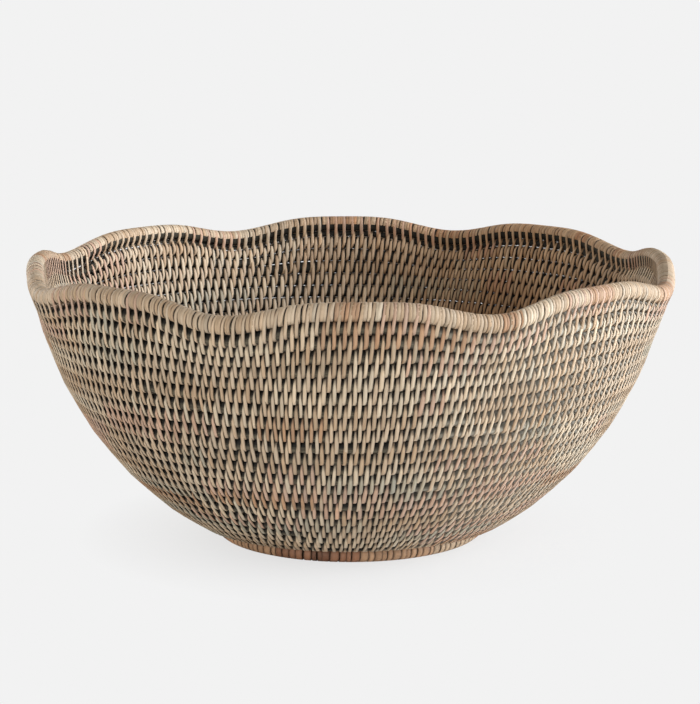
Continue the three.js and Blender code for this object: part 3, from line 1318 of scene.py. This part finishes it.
@dataclass
class Lashing:
    """The strips that hold each turn of the core to the turn below.

    A scatter is a standard deviation. Most_room is the share of its room that a strip may
    fill, and the slacks are the most by which it stands off the rods.
    """

    form: BowlForm
    weaver: Weaver
    tree: StripTree
    strip_width: float = 3.2 * MM
    width_scatter: float = 0.07
    most_room: float = 0.6
    thickness: float = 0.45 * MM
    lean: float = 0.8 * MM
    lean_scatter: float = 0.35 * MM
    jitter: float = 0.16 * MM
    narrow_scatter: float = 0.15
    most_narrow: float = 1.2
    slack_upper: float = 0.05 * MM
    slack_lower: float = 0.12 * MM
    steps: int = 18
    # The warm tint reddens and darkens the strips on one side of the bowl: partly redder cane, partly
    # painted shade with warm bounced light.
    warm_side: float = math.radians(50)
    warm_spread: float = math.radians(42)
    warm_tint: Triple = (1.0, 0.82, 0.67)
    # Painted light: the strips are paled on the side whose inside the key lamp lights.
    painted_light_side: float = math.radians(150)
    painted_light_spread: float = math.radians(50)
    painted_light_tint: Triple = (1.46, 1.46, 1.48)
    palest: float = 0.85

    def strips(self, low: float, high: float, palette: Palette) -> Strips:
        """Work out the strips of a stretch of the spiral.

        Args:
            low: The turn at which the stretch starts.
            high: The turn at which it ends.
            palette: The cane's colours.

        Returns:
            The strips.
        """
        turn, space = self.weaver.between(low, high)
        return self.loop(turn, space, self.form.core(turn - 1), self.form.core(turn), palette)

    def loop(
        self,
        turn: Array,
        space: Array,
        lower: Rod,
        upper: Rod,
        palette: Palette,
        width: float | None = None,
        narrow: float = 1.0,
        lean: float | None = None,
    ) -> Strips:
        """Loop strips round two rods.

        Args:
            turn: Where each strip crosses the slot between the rods.
            space: The space it has, in turns.
            lower: Places and radii of the lower rod.
            upper: Places and radii of the upper rod.
            palette: The cane's colours.
            width: The strips' width, if not the wall's own.
            narrow: Share of the width that a strip loses where it turns through a slot.
            lean: How far a strip drifts sideways on the outside, if not as on the wall.

        Returns:
            The strips.
        """
        random = self.weaver.random
        count = len(turn)
        across = upper[0] - lower[0]
        distance = np.linalg.norm(across, axis=1)
        up = across / distance[:, None]
        out = np.stack([up[:, 1], -up[:, 0]], axis=1)
        room = space * TURN * lower[0][:, 0]
        angle = TURN * turn + self.jitter * random.standard_normal(count) / lower[0][:, 0]
        along = np.gradient(round_the_axis(lower[0], TURN * turn), axis=0)
        broad = self.strip_width if width is None else width
        drift = self.lean if lean is None else lean
        return Strips(
            low=round_the_axis(lower[0], angle),
            out=round_the_axis(out, angle),
            up=round_the_axis(up, angle),
            along=along / np.linalg.norm(along, axis=1, keepdims=True),
            distance=distance,
            upper=upper[1] + self.slack_upper * random.random(count),
            lower=lower[1] + self.slack_lower * random.random(count),
            advance=room,
            lean=drift + self.lean_scatter * random.standard_normal(count),
            width=np.minimum(
                broad * (1 + self.width_scatter * random.standard_normal(count)), self.most_room * room
            ),
            narrow=np.clip(
                narrow * (1 + self.narrow_scatter * random.standard_normal(count)), 0, self.most_narrow
            ),
            squash=np.ones(count),
            tuck=np.zeros(count),
            tint=self.warm_cane_and_painted_light(palette.tints(count, random), angle),
            seed=random.random(count),
        )

    def warm_cane_and_painted_light(self, tints: Array, angle: Array) -> Array:
        """Tint colours round the bowl: redder and darker on one side, as redder cane with painted shade and
        warm bounced light, and paler on another, as painted light.

        Args:
            tints: The colours the palette gives.
            angle: Where each strip stands.

        Returns:
            The colours, each darkened as a whole where one channel would be too bright.
        """
        side_tints = np.ones((len(angle), 3))
        for side, spread, tint in (
            (self.warm_side, self.warm_spread, self.warm_tint),
            (self.painted_light_side, self.painted_light_spread, self.painted_light_tint),
        ):
            apart = (angle - side + TURN / 2) % TURN - TURN / 2
            side_tints += np.exp(-((apart / spread) ** 2))[:, None] * (np.array(tint) - 1)
        tints = tints * side_tints
        return tints / np.maximum(tints.max(axis=1, keepdims=True) / self.palest, 1)

    def dress(self, name: str, strips: Strips, material: bpy.types.Material) -> bpy.types.Object:
        """Make the strips into a piece."""
        return self.tree.lash(name, strips, self.thickness, self.steps, material)


def stand_for(piece: bpy.types.Object, node: str) -> None:
    """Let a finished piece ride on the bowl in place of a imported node.

    Args:
        piece: The piece.
        node: The node it stands for.
    """
    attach(piece, "root")
    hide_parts(node)
    LOG.info("%s: %d faces", piece.name, len(piece.data.polygons))


@dataclass
class Coil:
    """The one long core, from the middle of the base to its tail under the rim."""

    form: BowlForm
    tree: RodTree
    looks: Looks
    segment: float = 3.5 * MM
    fewest_segments: int = 12
    curl: float = 0.64
    tail_spare: float = 0.12

    def _length(self, name: str, low: float, high: float) -> bpy.types.Object:
        """Make one length of the core.

        Args:
            name: The piece's name.
            low: The turn at which it starts.
            high: The turn at which it ends.

        Returns:
            The piece.
        """
        radius = float(self.form.place(np.array([high]), np.array([0.0]))[0, 0])
        count = max(self.fewest_segments, int((high - low) * TURN * radius / self.segment))
        turn = np.linspace(low, high, count + 1)
        angle = TURN * turn
        middle, thick = self.form.core(turn)
        up = round_the_axis(self.form.lean(turn, angle), angle)
        return self.tree.rod(name, round_the_axis(middle, angle), up, thick, False, self.looks.core)

    def build(self, rows: int) -> None:
        """Make the base's coil and each turn of the wall.

        Args:
            rows: How many lengths the wall has.
        """
        start = self.form.base_turns
        stand_for(self._length("core_of_base", -self.curl, start), "base_coil")
        for row in range(1, rows + 1):
            high = min(start + row, self.form.tail_end + self.tail_spare)
            piece = self._length(f"core_of_wall_{row:02d}", start + row - 1, high)
            stand_for(piece, f"wall_coil_{row:02d}")


@dataclass
class Weave:
    """All the lashing of the base and the wall."""

    lashing: Lashing
    looks: Looks

    def build(self, rows: int) -> None:
        """Make the base's lashing and the lashing of each turn of the wall.

        Args:
            rows: How many lengths the wall has.
        """
        form = self.lashing.form
        start = form.base_turns
        strips = self.lashing.strips(1, start, WALL_PALETTE)
        stand_for(self.lashing.dress("strips_of_base", strips, self.looks.strip), "base_lashing")
        for row in range(1, rows + 1):
            high = min(start + row, form.tail_end)
            strips = self.lashing.strips(start + row - 1, high, WALL_PALETTE)
            piece = self.lashing.dress(f"strips_of_wall_{row:02d}", strips, self.looks.strip)
            stand_for(piece, f"wall_lashing_{row:02d}")


@dataclass
class Rim:
    """The rim hoop, its short wraps, and the long ones that reach over the turn below.

    A short wrap is looped round two rods that lie almost on each other, as the hoop. The
    short wraps fill the room between two long ones, times the cover and times an uneven share:
    the least width, to which chance adds up to the width scatter.
    """

    form: BowlForm
    lashing: Lashing
    rods: RodTree
    looks: Looks
    long_width: float = 2.3 * MM
    long_narrow: float = 0.2
    long_lean: float = 2.0 * MM
    short_wraps: int = 2
    short_lean: float = 1.2 * MM
    cover: float = 1.38
    least_width: float = 0.85
    width_scatter: float = 0.3
    tuck: float = 1.0 * MM
    rod_gap: float = 0.02 * MM
    hoop_play: float = 0.15 * MM
    steps_round: int = 384

    @property
    def wrap_radius(self) -> float:
        """Return the radius that the wraps lie on."""
        return self.form.rim_radius - self.lashing.thickness

    def _up(self, angle: Array) -> Array:
        """Return the direction along the wall at the rim, as radius and height."""
        return self.form.lean(np.full(len(angle), self.form.top_turn), angle)

    def _long(self) -> tuple[Strips, Array]:
        """Work out the long wraps.

        Returns:
            The wraps, and the turns at which they are.
        """
        turn, space = self.lashing.weaver.between(self.form.tail_end, self.form.tail_end + 1)
        strips = self.lashing.loop(
            turn,
            space,
            self.form.core(turn - 1),
            (self.form.rim(TURN * turn), np.full(len(turn), self.wrap_radius)),
            RIM_LASHING_PALETTE,
            width=self.long_width,
            narrow=self.long_narrow,
            lean=self.long_lean,
        )
        strips.advance /= self.short_wraps + 1
        return strips, turn

    def _short(self, turn: Array) -> Strips:
        """Work out the short wraps.

        Args:
            turn: The turns at which the long wraps are.

        Returns:
            The wraps that fill the room between the long ones.
        """
        space = np.append(turn[1:], turn[0] + 1) - turn
        shares = (np.arange(self.short_wraps) + 1) / (self.short_wraps + 1)
        where = (turn[:, None] + space[:, None] * shares).ravel()
        count = len(where)
        middle = self.form.rim(TURN * where)
        off = self._up(TURN * where) * self.rod_gap / 2
        radius = np.full(count, self.wrap_radius)
        strips = self.lashing.loop(
            where,
            np.full(count, 1 / count),
            (middle - off, radius),
            (middle + off, radius),
            RIM_PALETTE,
            narrow=0.0,
            lean=self.short_lean,
        )
        room = np.repeat(space * TURN * (middle[:, 0].mean() + self.wrap_radius), self.short_wraps)
        uneven = self.least_width + self.width_scatter * self.lashing.weaver.random.random(count)
        strips.width = (room - self.long_width) / self.short_wraps * self.cover * uneven
        strips.tuck = np.full(count, self.tuck)
        return strips

    def build(self) -> None:
        """Make the hoop and both kinds of wraps."""
        angle = FRONT + np.arange(self.steps_round) / self.steps_round * TURN
        points = round_the_axis(self.form.rim(angle), angle)
        up = round_the_axis(self._up(angle), angle)
        radius = np.full(self.steps_round, self.wrap_radius - self.hoop_play)
        hoop = self.rods.rod("hoop_of_rim", points, up, radius, True, self.looks.core)
        stand_for(hoop, "rim_hoop")
        strips, turn = self._long()
        piece = self.lashing.dress("long_wraps_of_rim", strips, self.looks.rim)
        stand_for(piece, "rim_lashing")
        piece = self.lashing.dress("short_wraps_of_rim", self._short(turn), self.looks.rim)
        stand_for(piece, "rim_binding")


@dataclass
class Foot:
    """The foot hoop and the broad wraps round it.

    The wraps have uneven shares of the way round: the least share, to which chance adds up to
    the share scatter, before all are brought to one full turn.
    """

    form: BowlForm
    lashing: Lashing
    rods: RodTree
    looks: Looks
    wrap_width: float = 4.4 * MM
    least_share: float = 0.65
    share_scatter: float = 0.7
    tint_scatter: float = 0.08
    rod_gap: float = 0.02 * MM
    hoop_play: float = 0.3 * MM
    front_start: float = math.radians(-147)
    steps_round: int = 192

    @property
    def wrap_radius(self) -> float:
        """Return the radius that the wraps lie on."""
        return self.form.foot_width / 2 - self.lashing.thickness

    def _circle(self, count: int, lift: float = 0.0) -> Array:
        """Return the middle of the hoop as radius and height, once for each of a count."""
        return np.tile([self.form.foot_radius, self.form.foot_height / 2 + lift], (count, 1))

    def _hoop(self) -> bpy.types.Object:
        """Make the hoop.

        Returns:
            The piece.
        """
        count = self.steps_round
        points = round_the_axis(self._circle(count), np.arange(count) / count * TURN)
        thick = np.full(count, (self.wrap_radius - self.hoop_play) * self.form.binding_flat)
        upright = np.tile([0.0, 0.0, 1.0], (count, 1))
        return self.rods.rod("hoop_of_foot", points, upright, thick, True, self.looks.core)

    def _wraps(self) -> Strips:
        """Work out the wraps, each as wide as its uneven share of the way round.

        Returns:
            The wraps.
        """
        random = self.lashing.weaver.random
        outer = TURN * (self.form.foot_radius + self.form.foot_width / 2)
        count = round(outer / self.wrap_width)
        share = self.least_share + self.share_scatter * random.random(count)
        share /= share.sum()
        radius = np.full(count, self.wrap_radius)
        strips = self.lashing.loop(
            np.cumsum(share) - share / 2,
            share,
            (self._circle(count, -self.rod_gap / 2), radius),
            (self._circle(count, self.rod_gap / 2), radius),
            FOOT_PALETTE,
            narrow=0.0,
            lean=0.0,
        )
        strips.width = share * outer
        strips.squash = np.full(count, self.form.binding_flat)
        strips.upper = radius
        strips.lower = radius
        first = round(self.front_start / TURN * count)
        for cane, wraps in FOOT_FRONT:
            uneven = 1 + self.tint_scatter * random.standard_normal((wraps, 1))
            strips.tint[np.arange(first, first + wraps) % count] = np.array(cane.value) * uneven
            first += wraps
        return strips

    def build(self) -> None:
        """Make the hoop and its wraps."""
        stand_for(self._hoop(), "foot_hoop")
        piece = self.lashing.dress("wraps_of_foot", self._wraps(), self.looks.foot)
        stand_for(piece, "foot_binding")


@dataclass(frozen=True)
class Panel:
    """A soft square light."""

    name: str
    place: Triple
    size: float
    power: float
    colour: Triple

    def hang(self, aim: Vector) -> None:
        """Put the light in the scene.

        Args:
            aim: The point that it faces.
        """
        data = bpy.data.lights.new(self.name, "AREA")
        data.size = self.size
        data.energy = self.power
        data.color = self.colour
        made = put(self.name, data)
        made.location = self.place
        made.rotation_euler = (aim - Vector(self.place)).to_track_quat("-Z", "Y").to_euler()


@dataclass
class Studio:
    """The camera, the floor and the light."""

    elevation: float = math.radians(11.08)
    azimuth: float = math.radians(-91.6)
    distance: float = 1.466
    aim: float = 87.8 * MM
    lift: float = 24.1 * MM
    lens: float = 121.35
    sensor: float = 36
    sight: float = 50
    backdrop: Triple = srgb(242, 242, 242)
    sky_strength: float = 0.15
    floor_half: float = 3.0
    floor_colour: Triple = (0.9, 0.9, 0.9)
    shadow_depth: float = 0.35
    shadow_reach: Span = (0.17, 0.02)

    PANELS = (
        Panel("key", (1.65, -0.2, 0.45), 1.5, 63.5, (0.96, 1.0, 1.06)),
        Panel("fill", (-0.95, -1.7, 0.36), 0.9, 21.5, (1.0, 0.97, 0.93)),
        Panel("back", (-1.2, 1.4, 0.5), 1.2, 17.0, (1.0, 0.98, 0.95)),
    )

    @property
    def middle(self) -> Vector:
        """Return the point of the bowl that the camera and the lights turn to."""
        return Vector((0, 0, self.aim))

    def camera(self) -> None:
        """Place the camera at the photograph's angle."""
        level = math.cos(self.elevation)
        back = Vector(
            (level * math.cos(self.azimuth), level * math.sin(self.azimuth), math.sin(self.elevation))
        )
        up = back.cross(Vector((0, 0, 1)).cross(back).normalized())
        place = self.middle + back * self.distance
        target = self.middle + up * self.lift
        data = bpy.data.cameras.new("camera")
        data.lens = self.lens
        data.sensor_width = self.sensor
        data.clip_end = self.sight
        made = put("camera", data)
        made.location = place
        made.rotation_euler = (target - place).to_track_quat("-Z", "Y").to_euler()
        bpy.context.scene.camera = made

    def lights(self) -> None:
        """Hang the key on the right, weaker lights left in front and behind, and an even sky."""
        for panel in self.PANELS:
            panel.hang(self.middle)
        world = bpy.data.worlds.new("sky")
        bpy.context.scene.world = world
        shader = Shader(world)
        shader.tree.nodes.clear()
        sky = shader.glow("ShaderNodeBackground", (1.0, 1.0, 1.0), self.sky_strength)
        page = shader.glow("ShaderNodeBackground", self.backdrop, 1.0)
        both = shader.blend(shader.seen(), sky, page)
        shader.node("ShaderNodeOutputWorld", None, {"Surface": both})

    def _floor_finish(self) -> bpy.types.Material:
        """Build the floor's finish: the backdrop's colour, and a true shadow near the bowl.

        Returns:
            The material.
        """
        shader = Shader.of_material("floor")
        shader.tree.nodes.clear()
        place = shader.out(shader.node("ShaderNodeTexCoord"), "Object")
        near = shader.ramp(shader.vector_value("LENGTH", place), *self.shadow_reach) * self.shadow_depth
        paper = shader.out(shader.node("ShaderNodeBsdfDiffuse", None, {"Color": self.floor_colour}))
        page = shader.glow("ShaderNodeEmission", self.backdrop, 1.0)
        both = shader.blend(shader.seen(), paper, shader.blend(near, page, paper))
        shader.node("ShaderNodeOutputMaterial", None, {"Surface": both})
        return shader.owner

    def floor(self) -> None:
        """Lay a pale floor that keeps a faint shadow and fades into the backdrop."""
        half = self.floor_half
        corners = [(-half, -half, 0), (half, -half, 0), (half, half, 0), (-half, half, 0)]
        mesh = bpy.data.meshes.new("floor")
        mesh.from_pydata(corners, [], [(0, 1, 2, 3)])
        mesh.materials.append(self._floor_finish())
        put("floor", mesh)

    def build(self) -> None:
        """Set the scene's view, camera, light and floor."""
        bpy.context.scene.view_settings.view_transform = "Standard"
        self.camera()
        self.lights()
        self.floor()


def main() -> None:
    """Build the bowl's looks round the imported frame."""
    logging.basicConfig(level=logging.INFO, format="%(name)s: %(message)s")
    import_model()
    form = BowlForm()
    rows = math.ceil(form.tail_end - form.base_turns)
    looks = Looks()
    rods = RodTree()
    weaver = Weaver(form)
    lashing = Lashing(form, weaver, StripTree())
    LOG.info("%d strips cross the spiral", len(weaver.crossings))
    Coil(form, rods, looks).build(rows)
    Weave(lashing, looks).build(rows)
    Rim(form, lashing, rods, looks).build()
    Foot(form, lashing, rods, looks).build()
    Studio().build()


if __name__ == "__main__":
    main()
